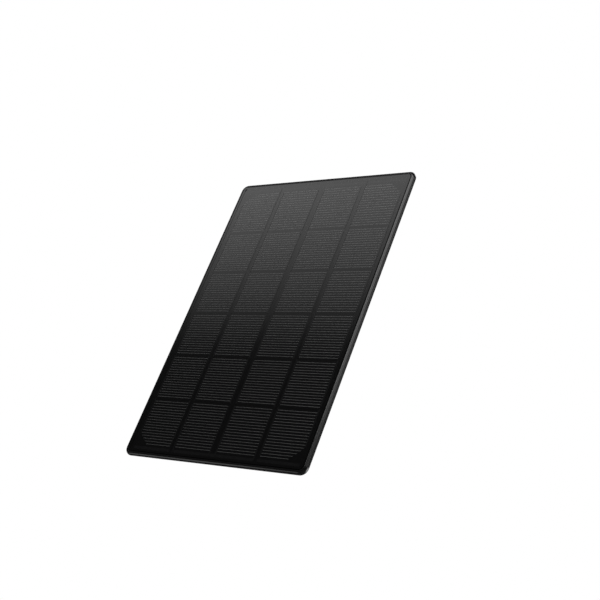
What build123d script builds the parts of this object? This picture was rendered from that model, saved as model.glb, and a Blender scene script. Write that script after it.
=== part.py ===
from build123d import *
import os

# A small solar panel for charging an outdoor device, standing upright in portrait.
# X is across the panel, Z is along its length, and the cells look towards -Y.
# The origin is the mouth of the threaded insert in the middle of the back.
# All sizes are millimetres.

# ---- driving dimensions: the panel ----
panel_w = 120.0
panel_h = 176.5
corner_r = 4.2
edge_t = 3.3  # thickness of the rounded edge
rim_w = 1.75  # from the outside to the groove round the laminate
groove_w = 0.45
edge_r = 1.6  # the edge is rounded front and back, nearly a full round
tray_floor = 1.2
adhesive_inset = 1.0

# ---- driving dimensions: the cells ----
columns = 4
rows = 6
field_w = 23.96  # width of one cell's printed field
land_w = 0.9  # bare strip on each side of the field, under the ribbon
outer_gap = 3.73  # between the fields of columns 1 and 2, and of 3 and 4
middle_gap = 4.85  # between the fields of columns 2 and 3, the two strings
row_heights = [27.6, 25.5, 25.5, 25.5, 25.5, 26.5]
row_gap = 1.48
field_top = 81.5
wafer_cut_x = 8.2  # cut-off corner of the wafer, on the four corner cells
wafer_cut_z = 7.2

# ---- driving dimensions: layers, as depths behind the front face ----
cover_back = 0.5
cell_front = 0.9
cell_back = 1.1
core_back = 1.55
backsheet_back = 1.9
recess_depth = 2.1
ribbon_t = 0.1
ribbon_w = 0.8

# ---- driving dimensions: the rear housing ----
housing_depth = 9.6  # from the back of the tray to the mouth of the insert
boss_proud = 0.6
housing_w = 68.0
housing_low = -36.0
housing_high = 40.0
housing_r = 9.0
housing_wall = 2.2
back_edge_r = 1.8
chin_w = 30.0
chin_low = -44.0
chin_r = 2.5
chin_overlap = 12.0  # how far the chin's rectangle reaches up into the housing
neck_r = 3.0
bay_w = 22.0  # the bay in the chin that the door closes
bay_high = -40.4
gasket_w = 1.0
gasket_t = 0.9
gasket_lip = 0.6
vent_x = 20.0
vent_r = 3.5
vent_hole_r = 0.5
vent_ring_r = 1.9
membrane_r = 4.2
membrane_t = 0.2
label_w = 34.0
label_h = 15.0
label_r = 1.5
label_t = 0.15
label_z = 21.0
label_well = 0.3
label_gap = 0.4  # between the label and the edge of its well

insert_r = 4.5
insert_len = 8.0
thread_r = 2.55  # wall of a 1/4"-20 thread at its crests
boss_r = 7.0
boss_pad_r = 8.5
knurl_r = 4.2
band_w = 2.6  # plain band at each end of the knurling

screw_x = 27.0
screw_low = -29.0
screw_high = 33.0
screw_head_r = 2.3
screw_head_t = 1.5
screw_head_fillet = 0.5
screw_r = 1.2
screw_tip_gap = 0.4
screw_well = 2.0
screw_clearance = 0.15
head_clearance = 0.3
post_r = 3.4  # the housing's posts and the tray's bosses that the screws join
screw_boss_r = 2.8
screw_boss_h = 4.2
cross_l = 2.6  # the cross recess in a head
cross_w = 0.6
cross_depth = 0.9

# ---- driving dimensions: board and output socket ----
board_w = 40.0
board_low = -33.0
board_high = -11.0
board_t = 1.0
board_back = -6.2
board_corner_r = 1.0
board_neck_w = 17.0  # the narrow end that holds the socket
board_neck_low = -37.9
board_neck_overlap = 2.0
slot_z = -13.5  # the output ribbons come through here
slot_x = 10.0
tail_w = 2.5
tail_t = 0.15
strip_w = 2.5  # the ribbon behind the cells that leads to a slot
board_screw_x = 17.0
board_screw_inset = 3.0
board_screw_r = 0.9
board_screw_len = 2.6  # in its standoff
board_head_r = 1.8
board_head_t = 1.2
driver_l = 2.0  # the cross recess in a board screw
driver_w = 0.5
driver_depth = 0.6
standoff_r = 2.2
standoff_hole = 3.0

port_y = -6.37
socket_w = 8.94
socket_h = 3.26
socket_r = 1.5
socket_wall = 0.3
socket_back_wall = 0.8
socket_mouth = -39.9
socket_len = 7.3
socket_clearance = 0.1
window_w = 9.5  # the housing's window round the socket
window_h = 3.7
window_r = 1.6
tongue_base = 1.2
tongue_w = 6.6
tongue_t = 0.7
tongue_len = 4.4

# ---- driving dimensions: door ----
pin_y = -1.9
pin_z = -42.6
pin_r = 0.5
pin_clearance = 0.05
pin_seat_x = 12.4
pin_snap = 0.84
pin_end_gap = 0.1
barrel_r = 1.1
door_low = -43.9
door_t = 1.6
door_side_gap = 0.25
door_front_gap = 0.3
lip_w = 12.0  # the finger lip on the door
lip_t = 1.2
lip_l = 1.0
seal_base_t = 0.8
seal_ring_w = 0.65
seal_r = 1.8
seal_gap = 0.1

# ---- places worked out from the dimensions ----
tray_back = -housing_depth
front = tray_back - edge_t
housing_back = -boss_proud
cavity_back = housing_back - housing_wall
laminate_w = panel_w - 2 * (rim_w + groove_w)
laminate_h = panel_h - 2 * (rim_w + groove_w)
recess_r = corner_r - rim_w
laminate_r = recess_r - groove_w
field_low = field_top - sum(row_heights) - (rows - 1) * row_gap
bus_gap = 0.8  # from the end cells to the cross ribbons
bus_w = 1.8
screws_at = [(x, z) for x in (-screw_x, screw_x) for z in (screw_low, screw_high)]
board_screw_zs = (board_low + board_screw_inset, board_high - board_screw_inset)
board_screws_at = [(x, z) for x in (-board_screw_x, board_screw_x) for z in board_screw_zs]
slots_at = [(x, slot_z) for x in (-slot_x, 0.0, slot_x)]
socket_top = socket_mouth + socket_len
door_w = bay_w - 2 * door_side_gap
door_front = tray_back + door_front_gap


def depth(d):
    """The Y of a layer that lies d behind the front face."""
    return front + d


def facing_front(y):
    """A sketch plane across the panel at y, which extrudes towards the front."""
    return Plane.XZ.offset(-y)


def column_x(column):
    """The middle of a column's printed field, from 0 on the left."""
    inner = middle_gap / 2 + field_w / 2
    outer = inner + field_w + outer_gap
    return [-outer, -inner, inner, outer][column]


def row_top(row):
    """The upper edge of a row of cells, from 0 at the top."""
    return field_top - sum(row_heights[:row]) - row * row_gap


def row_low(row):
    return row_top(row) - row_heights[row]


def land_xs(column):
    """The middles of a column's two ribbon lands."""
    half = (field_w + land_w) / 2
    return [column_x(column) - half, column_x(column) + half]


os.makedirs("parts", exist_ok=True)


def save(piece, name):
    piece.part.label = name
    export_step(piece.part, f"parts/{name}.step")


# ---- tray: one moulding whose edge is the rim round the cells ----
rib_w = 1.2
rib_h = 0.8
frame_rib_inset = 7.0
rib_from_housing = 1.0
rib_pitch = 14.0
rib_shift = 2.0
frame_rib_r = 6.0
door_swing_room = 16.0  # no ribs below the chin, where the plug and the door go
tray_slot = (3.2, 1.0)

with BuildPart() as tray:
    with BuildSketch(facing_front(tray_back)):
        RectangleRounded(panel_w, panel_h, corner_r)
    extrude(amount=edge_t)
    front_edges = tray.faces().sort_by(Axis.Y)[0].edges()
    back_edges = tray.faces().sort_by(Axis.Y)[-1].edges()
    fillet(front_edges + back_edges, edge_r)
    with BuildSketch(facing_front(depth(recess_depth))):
        RectangleRounded(panel_w - 2 * rim_w, panel_h - 2 * rim_w, recess_r)
    extrude(amount=recess_depth + 1, mode=Mode.SUBTRACT)
    # stiffening ribs on the back: a frame, and ribs from it to the housing
    frame_w = panel_w - 2 * frame_rib_inset
    frame_h = panel_h - 2 * frame_rib_inset
    with BuildSketch(facing_front(tray_back)):
        RectangleRounded(frame_w, frame_h, frame_rib_r)
        RectangleRounded(frame_w - 2 * rib_w, frame_h - 2 * rib_w, frame_rib_r - rib_w, mode=Mode.SUBTRACT)
    extrude(amount=-rib_h)
    with BuildSketch(facing_front(tray_back)):
        side_from = housing_w / 2 + rib_from_housing
        side_to = frame_w / 2 - rib_w
        for i in range(-2, 3):
            for side in (-1, 1):
                with Locations((side * (side_from + side_to) / 2, i * rib_pitch + rib_shift)):
                    Rectangle(side_to - side_from, rib_w)
        upper_from = housing_high + rib_from_housing
        upper_to = frame_h / 2 - rib_w
        for i in range(-2, 3):
            lower_from = chin_low - door_swing_room if abs(i) < 2 else housing_low - rib_from_housing
            with Locations((i * rib_pitch, (upper_from + upper_to) / 2)):
                Rectangle(rib_w, upper_to - upper_from)
            with Locations((i * rib_pitch, (lower_from - upper_to) / 2)):
                Rectangle(rib_w, lower_from + upper_to)
        with Locations((0, chin_low - door_swing_room)):
            Rectangle(4 * rib_pitch + rib_w, rib_w)
    extrude(amount=-rib_h)
    # bosses for the housing screws and standoffs for the board
    with BuildSketch(facing_front(tray_back)):
        with Locations(*screws_at):
            Circle(screw_boss_r)
    extrude(amount=-screw_boss_h)
    with BuildSketch(facing_front(tray_back)):
        with Locations(*board_screws_at):
            Circle(standoff_r)
    extrude(amount=-(board_back - board_t - tray_back))
    # screw holes
    with BuildSketch(facing_front(tray_back + screw_boss_h)):
        with Locations(*screws_at):
            Circle(screw_r)
    extrude(amount=screw_boss_h, mode=Mode.SUBTRACT)
    with BuildSketch(facing_front(board_back - board_t)):
        with Locations(*board_screws_at):
            Circle(board_screw_r)
    extrude(amount=standoff_hole, mode=Mode.SUBTRACT)
    # slots for the output ribbons
    with BuildSketch(facing_front(tray_back)):
        with Locations(*slots_at):
            Rectangle(*tray_slot)
    extrude(amount=tray_floor, mode=Mode.SUBTRACT)
save(tray, "tray")

# ---- adhesive sheet that bonds the laminate into the tray ----
adhesive_window = (28.0, 6.0)  # clear of the output ribbons
with BuildPart() as laminate_adhesive:
    with BuildSketch(facing_front(depth(recess_depth))):
        RectangleRounded(laminate_w - 2 * adhesive_inset, laminate_h - 2 * adhesive_inset, laminate_r)
        with Locations((0, slot_z)):
            Rectangle(*adhesive_window, mode=Mode.SUBTRACT)
    extrude(amount=recess_depth - backsheet_back)
save(laminate_adhesive, "laminate_adhesive")

# ---- backsheet ----
backsheet_slot = (2.9, 0.6)
with BuildPart() as backsheet:
    with BuildSketch(facing_front(depth(backsheet_back))):
        RectangleRounded(laminate_w, laminate_h, laminate_r)
        with Locations(*slots_at):
            Rectangle(*backsheet_slot, mode=Mode.SUBTRACT)
    extrude(amount=backsheet_back - core_back)
save(backsheet, "backsheet")


# ---- cells ----
def cell_outline(column, row):
    """Corner points of one cell, with the wafer's cut-off corner on a corner cell."""
    half = field_w / 2 + land_w
    left, right = column_x(column) - half, column_x(column) + half
    low, top = row_low(row), row_top(row)
    cut_side = {0: "left", columns - 1: "right"}.get(column)
    cut_end = {0: "top", rows - 1: "low"}.get(row)
    points = []
    for side, end in (("left", "low"), ("right", "low"), ("right", "top"), ("left", "top")):
        x, inward = (left, 1) if side == "left" else (right, -1)
        z, upward = (low, 1) if end == "low" else (top, -1)
        if side == cut_side and end == cut_end:
            cut = [(x, z + upward * wafer_cut_z), (x + inward * wafer_cut_x, z)]
            points += cut if (side == "left") == (end == "low") else cut[::-1]
        else:
            points.append((x, z))
    return points


for row in range(rows):
    for column in range(columns):
        with BuildPart() as cell:
            with BuildSketch(facing_front(depth(cell_back))):
                with BuildLine():
                    Polyline(*cell_outline(column, row), close=True)
                make_face()
            extrude(amount=cell_back - cell_front)
        save(cell, f"cell_r{row + 1}_c{column + 1}")


# ---- ribbons: each is flat boxes that lie between two depths ----
front_level = (cell_front - ribbon_t, cell_front)
back_level = (cell_back, cell_back + ribbon_t)
riser_level = (cell_front - ribbon_t, cell_back + ribbon_t)
cell_level = (cell_front, cell_back)
riser_t = 0.2
ribbon_end = 1.0  # a ribbon stops this far from the far end of its cell
cut_clearance = 0.4  # and this far from a cut-off corner
top_bus_low = field_top + bus_gap
low_bus_top = field_low - bus_gap
low_bus_low = low_bus_top - bus_w


def flat(left, right, low, high, level):
    """A flat stretch of ribbon between two depths."""
    near, far = level
    with BuildSketch(facing_front(depth(far))) as outline:
        with Locations(((left + right) / 2, (low + high) / 2)):
            Rectangle(right - left, high - low)
    extrude(outline.sketch, amount=far - near)


def strip(x, low, high, level):
    """A stretch of a cell's ribbon, centred on x."""
    flat(x - ribbon_w / 2, x + ribbon_w / 2, low, high, level)


def runs_into_cut(column, side):
    """Whether this land ends at a cut-off wafer corner, above and below."""
    return (column == 0 and side == 0) or (column == columns - 1 and side == 1)


def column_ribbons(column):
    """The two ribbons of a column, which step from the front of one cell to the back of the next."""
    rising = column in (0, columns - 1)  # the end at the top is a cell's front in the outer columns
    upper_level = back_level if rising else front_level
    lower_level = front_level if rising else back_level
    with BuildPart() as ribbons:
        for side, x in enumerate(land_xs(column)):
            cut = wafer_cut_z + cut_clearance
            high_end = field_top - cut if runs_into_cut(column, side) else top_bus_low + bus_w
            low_end = field_low + cut if runs_into_cut(column, side) else low_bus_low
            strip(x, row_low(0) + ribbon_end, high_end, lower_level)
            strip(x, low_end, row_top(rows - 1) - ribbon_end, upper_level)
            for row in range(rows - 1):
                middle = row_low(row) - row_gap / 2
                upper_end = min(row_top(row) - ribbon_end, high_end)
                lower_end = max(row_low(row + 1) + ribbon_end, low_end)
                strip(x, middle, upper_end, upper_level)
                strip(x, middle - riser_t / 2, middle + riser_t / 2, riser_level)
                strip(x, lower_end, middle, lower_level)
    return ribbons


column_ribbon_parts = []
for column in range(columns):
    ribbons = column_ribbons(column)
    save(ribbons, f"cell_ribbons_c{column + 1}")
    column_ribbon_parts.append(ribbons.part)


def column_span(first, last):
    """The outer edges of the ribbons of neighbouring columns."""
    return land_xs(first)[0] - ribbon_w / 2, land_xs(last)[1] + ribbon_w / 2


# the links join the two columns of each string at the top
link_parts = []
for name, first in (("link_ribbon_left", 0), ("link_ribbon_right", 2)):
    with BuildPart() as link:
        flat(*column_span(first, first + 1), top_bus_low, top_bus_low + bus_w, cell_level)
    save(link, name)
    link_parts.append(link.part)

# the output ribbons collect the lower ends, run up behind the cells and turn back through the slots
return_level = (core_back - tail_t, core_back)
tail_level = (core_back - tail_t, board_back + 0.6 - front)


def output_ribbon(first, last, x, turn_x):
    """Collects columns first to last, rises at x and goes back through the slot at turn_x."""
    turn_low, turn_high = slot_z - strip_w / 2, slot_z + strip_w / 2
    with BuildPart() as ribbon:
        flat(*column_span(first, last), low_bus_low, low_bus_top, cell_level)
        flat(x - strip_w / 2, x + strip_w / 2, low_bus_low, low_bus_top, (cell_front, core_back))
        flat(x - strip_w / 2, x + strip_w / 2, low_bus_low, turn_high, return_level)
        flat(min(x, turn_x) - strip_w / 2, max(x, turn_x) + strip_w / 2, turn_low, turn_high, return_level)
        flat(turn_x - tail_w / 2, turn_x + tail_w / 2, slot_z - tail_t / 2, slot_z + tail_t / 2, tail_level)
    return ribbon


string_x = column_x(0) + 10.0  # behind the cells of an outer column
output_parts = []
for name, first, last, x, turn_x in (
    ("positive_ribbon_left", 0, 0, string_x, -slot_x),
    ("positive_ribbon_right", 3, 3, -string_x, slot_x),
    ("negative_ribbon", 1, 2, 0.0, 0.0),
):
    ribbon = output_ribbon(first, last, x, turn_x)
    save(ribbon, name)
    output_parts.append(ribbon.part)

# ---- encapsulant: two sheets that close round the cells and ribbons ----
with BuildPart() as front_encapsulant:
    with BuildSketch(facing_front(depth(cell_front))):
        RectangleRounded(laminate_w, laminate_h, laminate_r)
    extrude(amount=cell_front - cover_back)
    for part in column_ribbon_parts:
        add(part, mode=Mode.SUBTRACT)
save(front_encapsulant, "front_encapsulant")

with BuildPart() as rear_encapsulant:
    with BuildSketch(facing_front(depth(core_back))):
        RectangleRounded(laminate_w, laminate_h, laminate_r)
    extrude(amount=core_back - cell_front)
    with BuildSketch(facing_front(depth(cell_back))):
        for row in range(rows):
            for column in range(columns):
                with BuildLine():
                    Polyline(*cell_outline(column, row), close=True)
                make_face()
    extrude(amount=cell_back - cell_front, mode=Mode.SUBTRACT)
    for part in column_ribbon_parts + link_parts + output_parts:
        add(part, mode=Mode.SUBTRACT)
save(rear_encapsulant, "rear_encapsulant")

# ---- clear front cover ----
with BuildPart() as front_cover:
    with BuildSketch(facing_front(depth(cover_back))):
        RectangleRounded(laminate_w, laminate_h, laminate_r)
    extrude(amount=cover_back)
save(front_cover, "front_cover")


# ---- rear housing and its gasket ----
def housing_outline(inset, chin_bottom, mode=Mode.ADD):
    """Main rectangle and chin of the housing, drawn inset from the outside."""
    height = housing_high - housing_low - 2 * inset
    chin_top = housing_low + chin_overlap
    with Locations((0, (housing_high + housing_low) / 2)):
        RectangleRounded(housing_w - 2 * inset, height, housing_r - inset, mode=mode)
    with Locations((0, (chin_bottom + chin_top) / 2)):
        Rectangle(chin_w - 2 * inset, chin_top - chin_bottom, mode=mode)


with BuildPart() as housing_gasket:
    with BuildSketch(facing_front(tray_back + gasket_t)):
        housing_outline(gasket_lip, bay_high + gasket_lip)
        inner = gasket_lip + gasket_w
        housing_outline(inner, bay_high + inner, mode=Mode.SUBTRACT)
    extrude(amount=gasket_t)
save(housing_gasket, "housing_gasket")

pad_root = 0.2  # how far the round pad is sunk into the housing's back
bay_overrun = 1.0

with BuildPart() as rear_housing:
    with BuildSketch(facing_front(housing_back)) as outside:
        housing_outline(0.0, chin_low)
        chin_corners = outside.vertices().group_by(Axis.Y)[0]
        neck_corners = outside.vertices().group_by(Axis.Y)[1].sort_by(lambda v: abs(v.X))[:2]
        fillet(chin_corners, chin_r)
        fillet(neck_corners, neck_r)
    extrude(amount=housing_back - tray_back)
    fillet(rear_housing.faces().sort_by(Axis.Y)[-1].edges(), back_edge_r)
    # cavity
    with BuildSketch(facing_front(cavity_back)):
        housing_outline(housing_wall, bay_high + housing_wall)
    extrude(amount=cavity_back - tray_back, mode=Mode.SUBTRACT)
    # boss for the insert, with a round pad outside
    with BuildSketch(facing_front(cavity_back)):
        Circle(boss_r)
    extrude(amount=cavity_back - tray_back)
    with BuildSketch(facing_front(0)):
        Circle(boss_pad_r)
    extrude(amount=boss_proud + pad_root)
    # posts for the screws, down to the tray's bosses
    with BuildSketch(facing_front(cavity_back)):
        with Locations(*screws_at):
            Circle(post_r)
    extrude(amount=cavity_back - (tray_back + screw_boss_h))
    with BuildSketch(facing_front(housing_back)):
        with Locations(*screws_at):
            Circle(screw_r + screw_clearance)
    extrude(amount=housing_depth, mode=Mode.SUBTRACT)
    with BuildSketch(facing_front(housing_back)):
        with Locations(*screws_at):
            Circle(screw_head_r + head_clearance)
    extrude(amount=screw_well, mode=Mode.SUBTRACT)
    # bay for the door, and the socket's window in the wall above it
    with BuildSketch(facing_front(0)):
        with Locations((0, (bay_high + chin_low - bay_overrun) / 2)):
            Rectangle(bay_w, bay_high - chin_low + bay_overrun)
    extrude(amount=housing_depth, mode=Mode.SUBTRACT)
    with BuildSketch(Plane.XY.offset(bay_high)):
        with Locations((0, port_y)):
            RectangleRounded(window_w, window_h, window_r)
    extrude(amount=housing_wall, mode=Mode.SUBTRACT)
    # seats for the hinge pin in the bay's sides, each with a slot that the pin snaps in through
    with BuildSketch(Plane.YZ.offset(-pin_seat_x)):
        with Locations((pin_y, pin_z)):
            Circle(pin_r)
        with Locations((pin_y / 2, pin_z)):
            Rectangle(-pin_y, pin_snap)
    extrude(amount=2 * pin_seat_x, mode=Mode.SUBTRACT)
    # hole for the insert
    with BuildSketch(facing_front(0)):
        Circle(insert_r)
    extrude(amount=insert_len, mode=Mode.SUBTRACT)
    # label well and vent
    with BuildSketch(facing_front(housing_back)):
        with Locations((0, label_z)):
            RectangleRounded(label_w + 2 * label_gap, label_h + 2 * label_gap, label_r + label_gap)
        with Locations((vent_x, 0)):
            Circle(vent_r)
    extrude(amount=label_well, mode=Mode.SUBTRACT)
    with BuildSketch(facing_front(housing_back)):
        with Locations((vent_x, 0)):
            Circle(vent_hole_r)
            with PolarLocations(vent_ring_r, 6):
                Circle(vent_hole_r)
    extrude(amount=housing_wall, mode=Mode.SUBTRACT)
    # groove for the gasket in the edge that meets the tray
    add(housing_gasket.part, mode=Mode.SUBTRACT)
save(rear_housing, "rear_housing")

with BuildPart() as vent_membrane:
    with BuildSketch(facing_front(cavity_back)):
        with Locations((vent_x, 0)):
            Circle(membrane_r)
    extrude(amount=membrane_t)
save(vent_membrane, "vent_membrane")

with BuildPart() as rating_label:
    with BuildSketch(facing_front(housing_back - label_well + label_t)):
        with Locations((0, label_z)):
            RectangleRounded(label_w, label_h, label_r)
    extrude(amount=label_t)
save(rating_label, "rating_label")

# ---- threaded insert: a brass sleeve, bored through, with a band at each end ----
with BuildPart() as threaded_insert:
    with BuildSketch(facing_front(0)):
        Circle(knurl_r)
    extrude(amount=insert_len)
    for y in (0.0, -(insert_len - band_w)):
        with BuildSketch(facing_front(y)):
            Circle(insert_r)
        extrude(amount=band_w)
    with BuildSketch(facing_front(0)):
        Circle(thread_r)
    extrude(amount=insert_len, mode=Mode.SUBTRACT)
save(threaded_insert, "threaded_insert")

# ---- housing screws: pan heads with a cross recess ----
with BuildPart() as housing_screws:
    head_back = housing_back - screw_well + screw_head_t
    with BuildSketch(facing_front(head_back)):
        with Locations(*screws_at):
            Circle(screw_head_r)
    extrude(amount=screw_head_t)
    fillet(housing_screws.faces().group_by(Axis.Y)[-1].edges(), screw_head_fillet)
    with BuildSketch(facing_front(head_back - screw_head_t)):
        with Locations(*screws_at):
            Circle(screw_r)
    extrude(amount=head_back - screw_head_t - tray_back - screw_tip_gap)
    with BuildSketch(facing_front(head_back)):
        with Locations(*screws_at):
            Rectangle(cross_l, cross_w)
            Rectangle(cross_w, cross_l)
    extrude(amount=cross_depth, mode=Mode.SUBTRACT)
save(housing_screws, "housing_screws")

# ---- circuit board: a rectangle with a narrow end that holds the socket ----
board_slot = (2.8, 0.55)
board_hole_r = 1.1
with BuildPart() as circuit_board:
    with BuildSketch(facing_front(board_back)):
        with Locations((0, (board_low + board_high) / 2)):
            RectangleRounded(board_w, board_high - board_low, board_corner_r)
        neck_top = board_low + board_neck_overlap
        with Locations((0, (board_neck_low + neck_top) / 2)):
            Rectangle(board_neck_w, neck_top - board_neck_low)
        notch_top = socket_top + 2 * socket_clearance
        with Locations((0, (board_neck_low + notch_top) / 2)):
            Rectangle(socket_w + 2 * socket_clearance, notch_top - board_neck_low, mode=Mode.SUBTRACT)
        with Locations(*board_screws_at):
            Circle(board_hole_r, mode=Mode.SUBTRACT)
        with Locations(*slots_at):
            Rectangle(*board_slot, mode=Mode.SUBTRACT)
    extrude(amount=board_t)
save(circuit_board, "circuit_board")

with BuildPart() as board_screws:
    with BuildSketch(facing_front(board_back + board_head_t)):
        with Locations(*board_screws_at):
            Circle(board_head_r)
    extrude(amount=board_head_t)
    with BuildSketch(facing_front(board_back + board_head_t)):
        with Locations(*board_screws_at):
            Rectangle(driver_l, driver_w)
            Rectangle(driver_w, driver_l)
    extrude(amount=driver_depth, mode=Mode.SUBTRACT)
    with BuildSketch(facing_front(board_back)):
        with Locations(*board_screws_at):
            Circle(board_screw_r)
    extrude(amount=board_t + board_screw_len)
save(board_screws, "board_screws")

# ---- parts on the board ----
inductor_at = (10.0, -21.0)
inductor_w = 6.0
inductor_h = 3.0
inductor_r = 1.2
with BuildPart() as power_inductor:
    with BuildSketch(facing_front(board_back + inductor_h)):
        with Locations(inductor_at):
            RectangleRounded(inductor_w, inductor_w, inductor_r)
    extrude(amount=inductor_h)
save(power_inductor, "power_inductor")

chip_at = (0.0, -22.0)
chip_w = 3.0
chip_l = 2.9
chip_h = 1.1
chip_standoff = 0.1
lead_pitch = 0.95
lead_w = 0.4
lead_t = 0.3
lead_foot = 0.5
lead_high = 0.6
with BuildPart() as regulator_chip:
    with BuildSketch(facing_front(board_back + chip_h)):
        with Locations(chip_at):
            Rectangle(chip_w, chip_l)
    extrude(amount=chip_h - chip_standoff)
    # three leads on each side: an upper stretch through the body, then a foot down to the board
    foot_x = chip_w + 2 * lead_w + lead_w
    with BuildSketch(facing_front(board_back + lead_high)):
        with Locations(chip_at):
            with GridLocations(0, lead_pitch, 1, 3):
                Rectangle(foot_x - lead_w, lead_w)
    extrude(amount=lead_t)
    with BuildSketch(facing_front(board_back + lead_high)):
        with Locations(chip_at):
            with GridLocations(foot_x, lead_pitch, 2, 3):
                Rectangle(lead_foot, lead_w)
    extrude(amount=lead_high)
save(regulator_chip, "regulator_chip")

large_capacitor = (3.2, 2.5, 1.6)  # width, length and height
large_capacitors_at = [(3.8, -28.0), (8.2, -28.0)]
small_capacitor = (1.6, 0.8, 0.8)
small_capacitors_at = [(4.4, -19.6), (4.4, -22.0), (-3.9, -20.2)]
with BuildPart() as capacitors:
    for (w, l, h), places in ((large_capacitor, large_capacitors_at), (small_capacitor, small_capacitors_at)):
        with BuildSketch(facing_front(board_back + h)):
            with Locations(*places):
                Rectangle(w, l)
        extrude(amount=h)
save(capacitors, "capacitors")

diode = (4.4, 2.7, 2.1)  # width, length and height
diodes_at = [(-10.0, -19.5), (-10.0, -24.5)]
with BuildPart() as blocking_diodes:
    with BuildSketch(facing_front(board_back + diode[2])):
        with Locations(*diodes_at):
            Rectangle(diode[0], diode[1])
    extrude(amount=diode[2])
save(blocking_diodes, "blocking_diodes")

solder_w = 1.6
solder_h = 0.5
with BuildPart() as solder_joints:
    with BuildSketch(facing_front(board_back + solder_h)):
        with Locations(*slots_at):
            SlotOverall(tail_w + solder_w, solder_w)
    extrude(amount=solder_h)
    for part in output_parts:
        add(part, mode=Mode.SUBTRACT)
save(solder_joints, "solder_joints")


# ---- output socket: a stamped shell round a tongue ----
def socket_profile(inset):
    """The socket's outline, drawn inset from the outside of the shell."""
    with Locations((0, port_y)):
        RectangleRounded(socket_w - 2 * inset, socket_h - 2 * inset, socket_r - inset)


with BuildPart() as socket_shell:
    with BuildSketch(Plane.XY.offset(socket_mouth)):
        socket_profile(0.0)
    extrude(amount=socket_len)
    with BuildSketch(Plane.XY.offset(socket_mouth)):
        socket_profile(socket_wall)
    extrude(amount=socket_len - socket_back_wall, mode=Mode.SUBTRACT)
save(socket_shell, "socket_shell")

with BuildPart() as socket_tongue:
    with BuildSketch(Plane.XY.offset(socket_top - socket_back_wall)):
        socket_profile(socket_wall)
    extrude(amount=-tongue_base)
    with BuildSketch(Plane.XY.offset(socket_top - socket_back_wall - tongue_base)):
        with Locations((0, port_y)):
            Rectangle(tongue_w, tongue_t)
    extrude(amount=-tongue_len)
save(socket_tongue, "socket_tongue")

# ---- door over the socket, its seal and its hinge pin ----
with BuildPart() as port_door:
    with BuildSketch(Plane.YZ.offset(-door_w / 2)):
        with Locations((pin_y, pin_z)):
            Circle(barrel_r)
        with Locations(((door_front + pin_y) / 2, door_low + door_t / 2)):
            Rectangle(pin_y - door_front, door_t)
    extrude(amount=door_w)
    with BuildSketch(Plane.YZ.offset(-lip_w / 2)):
        with Locations((door_front + lip_t / 2, door_low - lip_l / 2)):
            Rectangle(lip_t, lip_l)
    extrude(amount=lip_w)
    with BuildSketch(Plane.YZ.offset(-door_w / 2)):
        with Locations((pin_y, pin_z)):
            Circle(pin_r + pin_clearance)
    extrude(amount=door_w, mode=Mode.SUBTRACT)
save(port_door, "port_door")

seal_low = door_low + door_t
seal_ring_low = seal_low + seal_base_t
seal_inner_w = window_w + 0.2
seal_base = (12.1, 5.2)
with BuildPart() as door_seal:
    with BuildSketch(Plane.XY.offset(seal_low)):
        with Locations((0, port_y)):
            RectangleRounded(*seal_base, seal_r)
    extrude(amount=seal_base_t)
    with BuildSketch(Plane.XY.offset(seal_ring_low)):
        with Locations((0, port_y)):
            RectangleRounded(seal_inner_w + 2 * seal_ring_w, window_h + 2 * seal_ring_w, seal_r)
            RectangleRounded(seal_inner_w, window_h, window_r, mode=Mode.SUBTRACT)
    extrude(amount=bay_high - seal_gap - seal_ring_low)
save(door_seal, "door_seal")

with BuildPart() as hinge_pin:
    with BuildSketch(Plane.YZ.offset(-pin_seat_x + pin_end_gap)):
        with Locations((pin_y, pin_z)):
            Circle(pin_r)
    extrude(amount=2 * (pin_seat_x - pin_end_gap))
save(hinge_pin, "hinge_pin")
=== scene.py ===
import math

import bmesh
import bpy
from mathutils import Matrix, Vector


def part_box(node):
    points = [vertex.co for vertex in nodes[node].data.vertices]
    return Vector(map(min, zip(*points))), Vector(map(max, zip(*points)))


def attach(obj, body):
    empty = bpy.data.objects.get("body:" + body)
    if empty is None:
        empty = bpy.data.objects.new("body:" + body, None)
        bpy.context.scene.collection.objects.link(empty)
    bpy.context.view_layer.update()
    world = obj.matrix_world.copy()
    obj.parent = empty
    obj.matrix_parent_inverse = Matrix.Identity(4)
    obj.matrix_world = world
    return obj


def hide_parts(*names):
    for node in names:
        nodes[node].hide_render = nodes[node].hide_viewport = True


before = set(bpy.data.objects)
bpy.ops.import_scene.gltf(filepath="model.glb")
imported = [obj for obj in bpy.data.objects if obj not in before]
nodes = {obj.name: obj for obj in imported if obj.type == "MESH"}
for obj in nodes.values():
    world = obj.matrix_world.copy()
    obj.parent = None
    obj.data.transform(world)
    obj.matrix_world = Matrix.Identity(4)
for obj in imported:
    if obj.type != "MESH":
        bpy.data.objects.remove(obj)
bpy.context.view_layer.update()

MM = 0.001
PANEL = "panel"  # the body that every piece made here rides on


# ---------------------------------------------------------------- places, from the frame
EDGE_T = 3.3 * MM  # thickness of the rounded rim
COVER_LOW, COVER_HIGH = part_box("front_cover")
RIM_BACK = COVER_LOW.y + EDGE_T


# ---------------------------------------------------------------- node trees and materials
MIX_FACTOR, MIX_A, MIX_B, MIX_RESULT = 0, 6, 7, 2  # a Mix node's sockets when it mixes colours
FLAT_DOT, EDGE_DOT = 0.98, 0.65  # how well rounded and real normals agree on a flat face and on an edge


def dial(node, **values):
    """Sets a node's sockets by keyword, so from_min is From Min and coat_ior is Coat IOR."""
    for key, value in values.items():
        node.inputs[key.replace("_", " ").title().replace("Ior", "IOR")].default_value = value
    return node


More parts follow.
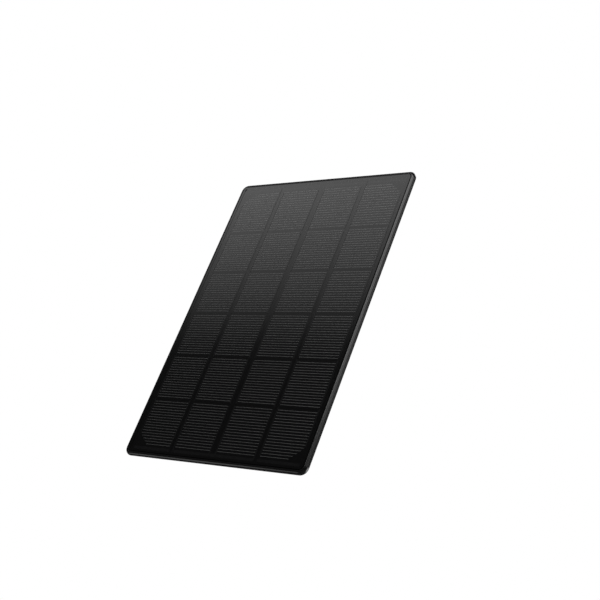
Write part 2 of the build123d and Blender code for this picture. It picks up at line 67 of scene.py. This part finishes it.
class Nodes:
    """A node tree under construction."""

    def __init__(self, tree):
        self.tree = tree
        tree.nodes.clear()

    def node(self, kind, **settings):
        made = self.tree.nodes.new(kind)
        for key, value in settings.items():
            setattr(made, key, value)
        return made

    def link(self, a, b):
        self.tree.links.new(a, b)

    def feed(self, socket, value):
        if isinstance(value, bpy.types.NodeSocket):
            self.link(value, socket)
        else:
            socket.default_value = value

    def apart(self, vector):
        """The X, Y and Z of a vector, by name."""
        made = self.node("ShaderNodeSeparateXYZ")
        self.link(vector, made.inputs[0])
        return made.outputs

    def maths(self, operation, a, b, clamp=False):
        made = self.node("ShaderNodeMath", operation=operation, use_clamp=clamp)
        self.feed(made.inputs[0], a)
        self.feed(made.inputs[1], b)
        return made.outputs["Value"]

    def mixed(self, factor, first, second):
        """A shader between two, by a factor."""
        made = self.node("ShaderNodeMixShader")
        for socket, source in zip(made.inputs, (factor, first, second)):
            self.link(source, socket)
        return made.outputs["Shader"]


class Paint(Nodes):
    """A node material: one Principled shader and the nodes that feed it."""

    def __init__(self, name):
        self.mat = bpy.data.materials.new(name)
        self.mat.use_nodes = True
        super().__init__(self.mat.node_tree)
        self.out = self.node("ShaderNodeOutputMaterial")
        self.bsdf = self.node("ShaderNodeBsdfPrincipled")
        self.link(self.bsdf.outputs["BSDF"], self.out.inputs["Surface"])
        self.place = self.node("ShaderNodeTexCoord").outputs["Object"]
        self.normal = None

    def set(self, **values):
        """Uniform values, straight on the shader's own sockets."""
        dial(self.bsdf, **values)
        return self

    def scaled(self, stretch):
        """Object coordinates in units of 1 mm, stretched."""
        mapping = dial(self.node("ShaderNodeMapping"), scale=[s / MM for s in stretch])
        self.link(self.place, mapping.inputs["Vector"])
        return mapping.outputs["Vector"]

    def noise(self, size_mm, detail=3.0, stretch=(1, 1, 1), distortion=0.0):
        made = dial(self.node("ShaderNodeTexNoise"), scale=1.0 / size_mm, detail=detail, roughness=0.55,
                    distortion=distortion)
        self.link(self.scaled(stretch), made.inputs["Vector"])
        return made.outputs["Fac"]

    def cells(self, size_mm):
        made = dial(self.node("ShaderNodeTexVoronoi"), scale=1.0 / size_mm)
        self.link(self.scaled((1, 1, 1)), made.inputs["Vector"])
        return made.outputs["Distance"]

    def spread(self, value, low, high, to_low=0.0, to_high=1.0):
        """Maps low..high of a value to to_low..to_high, clamped."""
        made = dial(self.node("ShaderNodeMapRange"), from_min=low, from_max=high,
                    to_min=to_low, to_max=to_high)
        self.link(value, made.inputs["Value"])
        return made.outputs["Result"]

    def tint(self, factor, dark, light):
        """A colour between two, by a factor. Each of the two is three numbers or a socket."""
        made = self.node("ShaderNodeMix", data_type="RGBA")
        self.feed(made.inputs[MIX_FACTOR], factor)
        for index, colour in ((MIX_A, dark), (MIX_B, light)):
            is_socket = isinstance(colour, bpy.types.NodeSocket)
            self.feed(made.inputs[index], colour if is_socket else (*colour, 1.0))
        return made.outputs[MIX_RESULT]

    def colour(self, socket):
        self.link(socket, self.bsdf.inputs["Base Color"])

    def rough(self, socket):
        self.link(socket, self.bsdf.inputs["Roughness"])

    def bump(self, height, depth_mm):
        """Adds a height of depth_mm millimetres to the surface's normal."""
        made = dial(self.node("ShaderNodeBump"), strength=1.0, distance=depth_mm * MM)
        self.link(height, made.inputs["Height"])
        if self.normal is not None:
            self.link(self.normal, made.inputs["Normal"])
        self.normal = made.outputs["Normal"]
        self.link(self.normal, self.bsdf.inputs["Normal"])

    def edges(self, radius_mm):
        """1 on an edge and 0 on flat faces: how far a rounded normal leaves the real one."""
        bevel = dial(self.node("ShaderNodeBevel", samples=6), radius=radius_mm * MM)
        agreement = self.node("ShaderNodeVectorMath", operation="DOT_PRODUCT")
        self.link(bevel.outputs["Normal"], agreement.inputs[0])
        self.link(self.node("ShaderNodeNewGeometry").outputs["Normal"], agreement.inputs[1])
        return self.spread(agreement.outputs["Value"], FLAT_DOT, EDGE_DOT)


# moulded plastic: polished on the rim, spark-eroded on the back, with edges that are rubbed paler
POLISHED = (0.16, 0.23)  # range of roughness
ERODED = (0.49, 0.55)
TURN = 0.5 * MM  # depth in which one texture gives way to the other
ERODED_PALER = 2.2
RUBBED_PALER, RUBBED_HAZE = 2.6, 0.012
RIM_WEAR, BACK_WEAR = 0.15, 0.8
WEAR_SHINE = -0.1  # change of roughness where it is rubbed
RIM_RELIEF = 0.12  # share of the back's relief
PIT_SIZE, PIT_DEPTH = 0.32, 0.02  # millimetres, like all sizes and depths given to a Paint
GRAIN_SIZE, GRAIN_DEPTH = 0.75, 0.024
SCRATCH_DEPTH = -0.0016


def moulding(name, dark, light):
    p = Paint(name)
    behind = p.spread(p.apart(p.place)["Y"], RIM_BACK - TURN, RIM_BACK)

    flow = p.noise(26.0, 4.0, (1.0, 1.0, 0.35), distortion=0.6)
    fine = p.noise(0.9, 5.0)
    blend = p.maths("ADD", p.spread(flow, 0.35, 0.65, 0.0, 0.7), p.spread(fine, 0.3, 0.7, 0.0, 0.3))
    rim_tint = p.tint(blend, dark, light)
    back_tint = p.tint(blend, [ERODED_PALER * c for c in dark], [ERODED_PALER * c for c in light])
    rubbed = p.maths("MULTIPLY", p.edges(0.35), p.spread(p.noise(3.2, 4.0), 0.42, 0.62))
    wear = p.maths("MULTIPLY", rubbed, p.spread(behind, 0.0, 1.0, RIM_WEAR, BACK_WEAR))
    worn_tint = [RUBBED_PALER * c + RUBBED_HAZE for c in light]
    p.colour(p.tint(wear, p.tint(behind, rim_tint, back_tint), worn_tint))

    smear = p.noise(9.0, 5.0, (1.0, 1.0, 0.6), distortion=1.4)
    polished = p.spread(smear, 0.35, 0.68, *POLISHED)
    eroded = p.spread(smear, 0.35, 0.68, *ERODED)
    rougher = p.maths("MULTIPLY", p.maths("SUBTRACT", eroded, polished), behind)
    p.rough(p.maths("ADD", p.maths("ADD", polished, rougher), p.maths("MULTIPLY", rubbed, WEAR_SHINE)))

    relief = p.spread(behind, 0.0, 1.0, RIM_RELIEF, 1.0)
    p.bump(p.maths("MULTIPLY", p.cells(PIT_SIZE), relief), PIT_DEPTH)
    p.bump(p.maths("MULTIPLY", p.noise(GRAIN_SIZE, 4.0), relief), GRAIN_DEPTH)
    scratches = p.noise(0.5, 2.0, (0.02, 1.0, 1.0), distortion=0.4)
    p.bump(p.spread(scratches, 0.66, 0.72), SCRATCH_DEPTH)
    return p.set(specular_ior_level=0.5)


def finish(name, dark, light, size_mm, rough_low, rough_high, bump_mm, metallic=0.0, stretch=(1, 1, 1),
           specular=0.5):
    """A finish with two scales of colour variation, uneven roughness and a fine relief."""
    p = Paint(name)
    large = p.noise(size_mm * 6.0, 3.0, stretch)
    small = p.noise(size_mm, 5.0, stretch)
    p.colour(p.tint(p.maths("ADD", p.spread(large, 0.3, 0.7, 0.0, 0.6), p.spread(small, 0.3, 0.7, 0.0, 0.4)),
                    dark, light))
    p.rough(p.spread(p.noise(size_mm * 2.5, 4.0, stretch), 0.3, 0.7, rough_low, rough_high))
    p.bump(small, bump_mm)
    return p.set(metallic=metallic, specular_ior_level=specular)


# ---------------------------------------------------------------- the laminate's gloss and clear layers
# The cover and encapsulant are bonded to what lies under them, so the layers have one common gloss. It is
# carried by the dark layers as a coat with the cover's index, and the clear sheets reflect next to nothing.
COVER_IOR = 1.49
COVER_ROUGHNESS = 0.10
GLOSS = {"coat_weight": 1.0, "coat_roughness": COVER_ROUGHNESS, "coat_ior": COVER_IOR}
PRINT_BLACK = ((0.0012, 0.0012, 0.0013), (0.0022, 0.0022, 0.0023))
# painted shade: the near-black given to the cut edges darkens the groove between cover and rim
CUT_EDGE_SHADE_BLACK = ((0.003, 0.003, 0.003), (0.007, 0.007, 0.007))
BORDER_W = 1.3 * MM  # black border printed on the front of the cover
BORDER_BLUR = 0.02 * MM


def laminated(*about, **more):
    """A finish under the gloss of the clear cover."""
    return finish(*about, **more).set(**GLOSS)


def ink(paint, colours, **values):
    """An opaque black with its own shader, beside the paint's main one."""
    shader = dial(paint.node("ShaderNodeBsdfPrincipled"), **values)
    paint.link(paint.tint(paint.noise(0.6), *colours), shader.inputs["Base Color"])
    return shader.outputs["BSDF"]


def clear_layer(name, roughness, ior, dust, border=False):
    """A clear sheet: light goes straight through, and only a trace of gloss is its own. Its cut edges are
    painted a matte near-black, a painted shade for the groove they face; the border of its front, if it has
    one, is printed black with a gloss."""
    p = Paint(name)
    p.set(base_color=(1.0, 1.0, 1.0, 1.0), metallic=1.0, ior=ior)
    haze = p.noise(9.0, 4.0, distortion=0.6)
    wiped = p.noise(3.0, 4.0, (0.2, 1.0, 1.0), distortion=0.4)
    p.rough(p.maths("ADD", p.spread(haze, 0.3, 0.7, roughness - dust, roughness + dust),
                    p.spread(wiped, 0.4, 0.7, -dust * 0.3, dust * 0.3)))
    p.bump(p.noise(14.0, 2.0), 0.0015)

    surface = p.node("ShaderNodeNewGeometry").outputs
    outside = p.maths("SUBTRACT", 1.0, surface["Backfacing"])
    gloss = dial(p.node("ShaderNodeFresnel"), ior=ior).outputs["Fac"]
    clear = p.node("ShaderNodeBsdfTransparent").outputs["BSDF"]
    sheet = p.mixed(p.maths("MULTIPLY", gloss, outside), clear, p.bsdf.outputs["BSDF"])
    if border:
        at = p.apart(p.place)
        beyond = []
        for axis, limit in (("X", COVER_HIGH.x), ("Z", COVER_HIGH.z)):
            away = p.maths("ABSOLUTE", at[axis], 0.0)
            beyond.append(p.spread(away, limit - BORDER_W - BORDER_BLUR, limit - BORDER_W))
        printed = ink(p, PRINT_BLACK, roughness=0.5, specular_ior_level=0.02, **GLOSS)
        sheet = p.mixed(p.maths("MULTIPLY", p.maths("MAXIMUM", *beyond), outside), sheet, printed)

    # painted shade: the cut side faces get a matte near-black, so that the groove between cover and rim reads
    # dark
    depth = p.apart(surface["True Normal"])["Y"]
    on_side = p.spread(p.maths("MULTIPLY", depth, depth), 0.4, 0.5, 1.0, 0.0)
    cut = ink(p, CUT_EDGE_SHADE_BLACK, roughness=0.7, specular_ior_level=0.1)
    p.link(p.mixed(on_side, sheet, cut), p.out.inputs["Surface"])
    return p


# ---------------------------------------------------------------- finishes, by slot or by name
finishes = {
    "black_moulding": moulding("black_moulding", (0.006, 0.006, 0.0062), (0.010, 0.010, 0.0102)),
    "clear_cover": clear_layer("clear_cover", COVER_ROUGHNESS, 1.02, 0.02, border=True),
    "clear_encapsulant": clear_layer("clear_encapsulant", 0.5, 1.01, 0.05),
    "black_encapsulant": laminated("black_encapsulant", *PRINT_BLACK, 0.8, 0.42, 0.6, 0.004, specular=0.02),
    "black_backsheet": finish("black_backsheet", (0.004, 0.004, 0.0042), (0.007, 0.007, 0.0072),
                              0.5, 0.45, 0.62, 0.004, specular=0.04),
    "silicon_cell": laminated("silicon_cell", (0.0012, 0.0013, 0.0016), (0.0026, 0.0026, 0.0030),
                              0.6, 0.28, 0.44, 0.001, specular=0.03),
    "finger_silver": laminated("finger_silver", (0.105, 0.105, 0.105), (0.14, 0.14, 0.139),
                               0.35, 0.35, 0.5, 0.002, metallic=0.5),
    "black_ribbon": laminated("black_ribbon", (0.004, 0.004, 0.0042), (0.008, 0.008, 0.0085),
                              0.3, 0.35, 0.5, 0.002, specular=0.04),
    "adhesive": finish("adhesive", (0.018, 0.018, 0.018), (0.035, 0.035, 0.035), 0.9, 0.6, 0.8, 0.01),
    "silicone": finish("silicone", (0.02, 0.02, 0.021), (0.035, 0.035, 0.036), 0.7, 0.55, 0.75, 0.01),
    "white_membrane": finish("white_membrane", (0.62, 0.62, 0.60), (0.78, 0.78, 0.76), 0.12, 0.7, 0.85, 0.02),
    "label_film": finish("label_film", (0.30, 0.305, 0.31), (0.37, 0.375, 0.38), 0.25, 0.34, 0.5, 0.003),
    "label_ink": finish("label_ink", (0.05, 0.05, 0.052), (0.08, 0.08, 0.082), 0.2, 0.4, 0.55, 0.002),
    "brass": finish("brass", (0.52, 0.36, 0.13), (0.70, 0.52, 0.24), 0.5, 0.22, 0.42, 0.004, metallic=1.0),
    "black_steel": finish("black_steel", (0.018, 0.018, 0.019), (0.045, 0.044, 0.043),
                          0.35, 0.3, 0.5, 0.003, metallic=0.7),
    "zinc_steel": finish("zinc_steel", (0.45, 0.46, 0.47), (0.62, 0.63, 0.64),
                         0.5, 0.25, 0.42, 0.003, metallic=1.0),
    "socket_steel": finish("socket_steel", (0.50, 0.50, 0.50), (0.66, 0.66, 0.65),
                           0.4, 0.22, 0.38, 0.002, metallic=1.0, stretch=(1.0, 1.0, 0.15)),
    "board": finish("board", (0.006, 0.05, 0.022), (0.010, 0.085, 0.036), 0.4, 0.3, 0.45, 0.01),
    "ferrite": finish("ferrite", (0.035, 0.034, 0.033), (0.07, 0.068, 0.066), 0.25, 0.5, 0.7, 0.02),
    "chip_plastic": finish("chip_plastic", (0.012, 0.012, 0.012), (0.02, 0.02, 0.02), 0.15, 0.45, 0.6, 0.008),
    "chip_ceramic": finish("chip_ceramic", (0.28, 0.19, 0.11), (0.38, 0.27, 0.16), 0.2, 0.4, 0.55, 0.004),
    "solder": finish("solder", (0.55, 0.55, 0.54), (0.72, 0.72, 0.70), 0.3, 0.2, 0.4, 0.01, metallic=1.0),
}

for node in nodes.values():
    for holder in node.material_slots:
        holder.material = finishes[holder.material.name.split(".")[0]].mat


# ---------------------------------------------------------------- building in mesh code
def piece(name, mesh_maker, slot, looks=None, smooth=None):
    """A new object from a function that fills a bmesh, with the slot's finish or the one that looks names."""
    bm = bmesh.new()
    mesh_maker(bm)
    bmesh.ops.recalc_face_normals(bm, faces=bm.faces)
    mesh = bpy.data.meshes.new(name)
    bm.to_mesh(mesh)
    bm.free()
    made = bpy.data.objects.new(name, mesh)
    bpy.context.scene.collection.objects.link(made)
    mesh.materials.append(finishes[looks or slot].mat)
    if smooth is not None:
        mesh.shade_smooth()
        mesh.set_sharp_from_angle(angle=math.radians(smooth))
    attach(made, PANEL)
    return made


def bridge(bm, first, second):
    """The faces between two closed loops of as many points."""
    for i in range(len(first)):
        j = (i + 1) % len(first)
        bm.faces.new((first[i], first[j], second[j], second[i]))


def prism(bm, outline, y_front, y_back):
    """A closed prism from an outline of (x, z) points between two depths."""
    front = [bm.verts.new((x, y_front, z)) for x, z in outline]
    back = [bm.verts.new((x, y_back, z)) for x, z in outline]
    bm.faces.new(front)
    bm.faces.new(back[::-1])
    bridge(bm, front, back)


def oblong(x0, x1, z0, z1):
    return [(x0, z0), (x1, z0), (x1, z1), (x0, z1)]


CORNER_STEPS = 10


def rounded_oblong(low, high, inset, radius):
    """The outline of a box seen along Y, drawn in by an inset, with round corners."""
    x0, x1 = low.x + inset + radius, high.x - inset - radius
    z0, z1 = low.z + inset + radius, high.z - inset - radius
    points = []
    for quarter, (cx, cz) in enumerate(((x1, z1), (x0, z1), (x0, z0), (x1, z0))):
        for step in range(CORNER_STEPS + 1):
            a = math.radians(90 * (quarter + step / CORNER_STEPS))
            points.append((cx + radius * math.cos(a), cz + radius * math.sin(a)))
    return points


# ---------------------------------------------------------------- the fingers printed on the cells
COLUMNS = 4
ROWS = 6
FINGERS = 17  # on each cell, straight across it
FINGER_W = 0.24 * MM
FINGER_T = 0.02 * MM
FINGER_SUNK = 0.005 * MM
LAND = 0.9 * MM  # bare strip at each end of a finger
CUT_X = 8.2 * MM  # cut-off corner of the wafer, on the four corner cells
CUT_Z = 7.2 * MM


def finger_lines(bm):
    for row in range(ROWS):
        for column in range(COLUMNS):
            low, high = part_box(f"cell_r{row + 1}_c{column + 1}")
            pitch = (high.z - low.z) / FINGERS
            for k in range(FINGERS):
                z = low.z + (k + 0.5) * pitch
                x0, x1 = low.x + LAND, high.x - LAND
                from_end = high.z - z if row == 0 else z - low.z
                if row in (0, ROWS - 1) and column in (0, COLUMNS - 1) and from_end < CUT_Z:
                    cut = CUT_X * (1 - from_end / CUT_Z) + FINGER_W
                    if column == 0:
                        x0 = max(x0, low.x + cut)
                    else:
                        x1 = min(x1, high.x - cut)
                line = oblong(x0, x1, z - FINGER_W / 2, z + FINGER_W / 2)
                prism(bm, line, low.y - FINGER_T, low.y + FINGER_SUNK)


piece("cell_fingers", finger_lines, "silicon_cell", looks="finger_silver")


# ---------------------------------------------------------------- the front encapsulant
# It is drawn a little smaller than its CAD solid, so that no two faces coincide.
ENCAPSULANT_R = 2.0 * MM
CLEARANCE = 0.02 * MM


def encapsulant_sheet(bm):
    low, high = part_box("front_encapsulant")
    outline = rounded_oblong(low, high, CLEARANCE, ENCAPSULANT_R)
    prism(bm, outline, low.y + CLEARANCE, high.y - FINGER_T - CLEARANCE)


encapsulant = piece("clear_encapsulant_sheet", encapsulant_sheet, "clear_encapsulant")
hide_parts("front_encapsulant")

# light that has left the layers underneath isn't stopped again by the clear sheets
for clear_sheet in (encapsulant, nodes["front_cover"]):
    clear_sheet.visible_glossy = False
    clear_sheet.visible_diffuse = False
    clear_sheet.visible_shadow = False


# ---------------------------------------------------------------- the threaded insert
# Its bore gets a real helical thread and a lead-in at both ends, and its middle a knurl.
THREAD_PITCH = 1.27 * MM
THREAD_CREST = 2.55 * MM
THREAD_ROOT = 3.1 * MM
THREAD_FLAT = 0.125  # width of the flats at crest and root, as shares of half the pitch
LEAD_IN = 0.6 * MM
LEAD_IN_R = THREAD_ROOT + 0.1 * MM
INSERT_CHAMFER = 0.25 * MM
KNURL_R = 4.2 * MM
KNURL_DEPTH = 0.16 * MM
BAND_W = 2.6 * MM
KNURLS = 30
AROUND = 120  # points in a ring
PER_PITCH = 10  # rings in a turn of the thread
SHARP_ANGLE = 35  # degrees between faces from which an edge is drawn sharp


def thread_radius(turn, y_from_mouth, length):
    """The bore's radius: a 60 degree thread with small flats, opened at both ends."""
    phase = (y_from_mouth / THREAD_PITCH + turn) % 1.0
    flank = min(1.0, max(0.0, (abs(phase - 0.5) * 2.0 - THREAD_FLAT) / (1.0 - 2.0 * THREAD_FLAT)))
    depth = THREAD_ROOT - THREAD_CREST
    from_end = min(y_from_mouth, length - y_from_mouth)
    return max(THREAD_CREST + depth * flank, LEAD_IN_R - depth * from_end / LEAD_IN)


def insert_body(bm):
    low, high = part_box("threaded_insert")
    length, outer = high.y - low.y, high.x
    steps = round(length / THREAD_PITCH * PER_PITCH)
    turns = [k / AROUND for k in range(AROUND)]
    rings = []  # each a depth from the mouth and a radius at every point round it
    for i in range(steps + 1):
        away = length * i / steps
        rings.append((away, [thread_radius(turn, away, length) for turn in turns]))
    knurling = [KNURL_DEPTH * (k * KNURLS % AROUND >= AROUND // 2) for k in range(AROUND)]
    for radius, away, knurled in (
            (outer - INSERT_CHAMFER, length, False), (outer, length - INSERT_CHAMFER, False),
            (outer, length - BAND_W, False), (KNURL_R, length - BAND_W, True),
            (KNURL_R, BAND_W, True), (outer, BAND_W, False),
            (outer, INSERT_CHAMFER, False), (outer - INSERT_CHAMFER, 0.0, False)):
        rings.append((away, [radius - dip * knurled for dip in knurling]))
    loops = []
    for away, radii in rings:
        angles = [math.tau * turn for turn in turns]
        loops.append([bm.verts.new((r * math.cos(a), high.y - away, r * math.sin(a)))
                      for r, a in zip(radii, angles)])
    for first, second in zip(loops, loops[1:] + loops[:1]):
        bridge(bm, first, second)


insert = piece("brass_insert", insert_body, "brass", smooth=SHARP_ANGLE)
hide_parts("threaded_insert")


# ---------------------------------------------------------------- the contacts on the socket's tongue
CONTACTS = 12  # on each face
CONTACT_PITCH = 0.5 * MM
CONTACT_W = 0.26 * MM
CONTACT_T = 0.02 * MM
CONTACT_L = 3.7 * MM
CONTACT_FROM_TIP = 0.35 * MM
TONGUE_HALF_T = 0.35 * MM


def tongue_contacts(bm):
    low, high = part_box("socket_tongue")
    middle = (low.y + high.y) / 2
    tip = low.z + CONTACT_FROM_TIP
    for side in (-1, 1):
        depths = sorted(middle + side * (TONGUE_HALF_T + sink) for sink in (-CONTACT_T, CONTACT_T))
        for k in range(CONTACTS):
            x = (k - (CONTACTS - 1) / 2) * CONTACT_PITCH
            prism(bm, oblong(x - CONTACT_W / 2, x + CONTACT_W / 2, tip, tip + CONTACT_L), *depths)


piece("socket_contacts", tongue_contacts, "brass")


# ---------------------------------------------------------------- the frame printed on the blank label
LABEL_INSET = 1.2 * MM
LABEL_LINE = 0.25 * MM
LABEL_INK = 0.01 * MM
LABEL_R = 1.25 * MM


def label_frame(bm):
    low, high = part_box("rating_label")
    inner_inset = LABEL_INSET + LABEL_LINE
    loops = []
    for inset, lift in ((LABEL_INSET, -LABEL_INK), (LABEL_INSET, LABEL_INK),
                        (inner_inset, LABEL_INK), (inner_inset, -LABEL_INK)):
        outline = rounded_oblong(low, high, inset, LABEL_R)
        loops.append([bm.verts.new((x, high.y + lift, z)) for x, z in outline])
    for first, second in zip(loops, loops[1:] + loops[:1]):
        bridge(bm, first, second)


piece("label_border", label_frame, "label_film", looks="label_ink")


# ---------------------------------------------------------------- camera
EYE_FROM_FACE = Vector((376.417, -382.029, -243.834)) * MM  # from the middle of the front face
EYE_BACK = Vector((0.61805, -0.65713, -0.43152))  # against the way it looks
EYE_RIGHT = Vector((0.7864, 0.5184, 0.3359))
LENS = 67.489

eye = Vector((0.0, COVER_LOW.y, 0.0)) + EYE_FROM_FACE
back = EYE_BACK.normalized()
up = back.cross(EYE_RIGHT).normalized()
right = up.cross(back)

camera_data = bpy.data.cameras.new("camera")
camera_data.sensor_width = 36.0
camera_data.lens = LENS
camera_data.clip_start = 0.01
camera_data.clip_end = 20.0
camera = bpy.data.objects.new("camera", camera_data)
bpy.context.scene.collection.objects.link(camera)
camera.matrix_world = Matrix((*zip(right, up, back, eye), (0, 0, 0, 1)))
bpy.context.scene.camera = camera


# ---------------------------------------------------------------- floor
FLOOR_Z = -0.60
FLOOR_R = 4.0
FLOOR_GLOW = 0.92  # the floor looks as pale as the room behind it
FLOOR_MIRRORED = 0.20  # but is mirrored as a grey, which fades out between these distances
FLOOR_NEAR = 0.7
FLOOR_FAR = 3.0


def floor_paper():
    p = Paint("floor_paper")
    pale = p.tint(p.noise(60.0, 3.0), (0.80, 0.80, 0.80), (0.84, 0.84, 0.84))
    looked_at = p.node("ShaderNodeLightPath").outputs["Is Camera Ray"]
    away = p.node("ShaderNodeVectorMath", operation="LENGTH")
    p.link(p.place, away.inputs[0])
    faded = p.spread(away.outputs["Value"], FLOOR_NEAR, FLOOR_FAR)
    mirrored = p.tint(faded, [FLOOR_MIRRORED] * 3, (0.0, 0.0, 0.0))
    p.colour(p.tint(looked_at, mirrored, pale))
    p.link(p.tint(looked_at, (0.0, 0.0, 0.0), pale), p.bsdf.inputs["Emission Color"])
    return p.set(roughness=0.9, specular_ior_level=0.1, emission_strength=FLOOR_GLOW)


def floor_disc():
    bm = bmesh.new()
    bmesh.ops.create_circle(bm, cap_ends=True, radius=FLOOR_R, segments=96)
    mesh = bpy.data.meshes.new("floor")
    bm.to_mesh(mesh)
    bm.free()
    made = bpy.data.objects.new("floor", mesh)
    made.location = (0, 0, FLOOR_Z)
    bpy.context.scene.collection.objects.link(made)
    mesh.materials.append(floor_paper().mat)


floor_disc()


# ---------------------------------------------------------------- lights
# A band of boxes from the front round to the right draws the rim, and a low one fills its underside. Two more
# light the back, one from above and one from low down, which gives it a sheen.
BAND = 1.4  # distance of the boxes in the band
BAND_ELEVATION = 31  # degrees
BAND_HEIGHT = 0.65


def softbox(name, place, width, height, power):
    """A rectangular area light that faces the origin."""
    data = bpy.data.lights.new(name, "AREA")
    data.shape = "RECTANGLE"
    data.size, data.size_y = width, height
    data.energy = power
    made = bpy.data.objects.new(name, data)
    made.location = place
    made.rotation_mode = "QUATERNION"
    made.rotation_quaternion = (-Vector(place)).to_track_quat("-Z", "Y")
    made.visible_camera = False
    bpy.context.scene.collection.objects.link(made)


def band_box(name, azimuth, width, power):
    a, e = math.radians(azimuth), math.radians(BAND_ELEVATION)
    place = Vector((math.sin(a) * math.cos(e), -math.cos(a) * math.cos(e), math.sin(e))) * BAND
    softbox(name, place, width, BAND_HEIGHT, power)


band_box("front", azimuth=-5, width=0.65, power=4.3)
band_box("front_right", azimuth=36, width=0.90, power=3.5)
band_box("right", azimuth=98, width=1.50, power=2.2)
softbox("low_fill", (-0.464, -0.262, -0.525), width=0.36, height=0.25, power=0.31)
softbox("behind", (0.10, 0.70, 1.25), width=0.8, height=0.6, power=6.0)
softbox("back_sheen", (0.90, 0.90, -0.30), width=1.3, height=1.0, power=17.0)


# ---------------------------------------------------------------- the room
# A large overhead sheet in front, whose light fades towards its lower edge, in a dim surround. Slopes are
# heights over distances ahead, as seen from the panel.
SHEET_LOW = 0.59  # slope at which the sheet's light begins
SHEET_HIGH = 0.86  # slope at which it reaches its full strength
SHEET_LIGHT = 1.35
SHEET_TOP = 0.95  # slope at which it fades again
SHEET_END = 1.15
SHEET_LEFT = -1.6  # slope across at which its light begins, and how much further right it is full
SHEET_FADE = 0.35
LEAST_AHEAD = 0.05  # keeps the slopes finite to the side and behind
DIM_BEHIND = 0.012  # light of the surround behind, and what it has more in front
DIM = 0.03
DIM_TURN, DIM_MIDDLE = 2.0, 0.5  # how fast the surround dims from front to back, and its level in between
WHITE = (1.0, 1.0, 1.0, 1.0)

world = bpy.data.worlds.new("studio")
bpy.context.scene.world = world
world.use_nodes = True
room = Nodes(world.node_tree)
toward = room.apart(room.node("ShaderNodeTexCoord").outputs["Generated"])
ahead = room.maths("MULTIPLY", toward["Y"], -1.0)
distance = room.maths("MAXIMUM", ahead, LEAST_AHEAD)
slope = room.maths("DIVIDE", toward["Z"], distance)
across = room.maths("DIVIDE", toward["X"], distance)
rise = room.maths("DIVIDE", room.maths("SUBTRACT", slope, SHEET_LOW), SHEET_HIGH - SHEET_LOW)
fall = room.maths("DIVIDE", room.maths("SUBTRACT", SHEET_END, slope), SHEET_END - SHEET_TOP, clamp=True)
facing = room.maths("DIVIDE", room.maths("SUBTRACT", across, SHEET_LEFT), SHEET_FADE, clamp=True)
lit = room.maths("MULTIPLY", room.maths("MULTIPLY", room.maths("MAXIMUM", rise, 0.0), fall), SHEET_LIGHT)
front_side = room.maths("ADD", room.maths("MULTIPLY", ahead, DIM_TURN), DIM_MIDDLE, clamp=True)
dim = room.maths("ADD", room.maths("MULTIPLY", front_side, DIM), DIM_BEHIND)

ambient = dial(room.node("ShaderNodeBackground"), color=WHITE)
room.link(room.maths("ADD", room.maths("MULTIPLY", lit, facing), dim), ambient.inputs["Strength"])
seen = dial(room.node("ShaderNodeBackground"), color=WHITE)
looked_at = room.node("ShaderNodeLightPath").outputs["Is Camera Ray"]
both = room.mixed(looked_at, ambient.outputs["Background"], seen.outputs["Background"])
room.link(both, room.node("ShaderNodeOutputWorld").inputs["Surface"])

bpy.context.scene.view_settings.view_transform = "Standard"
bpy.context.scene.view_settings.look = "None"
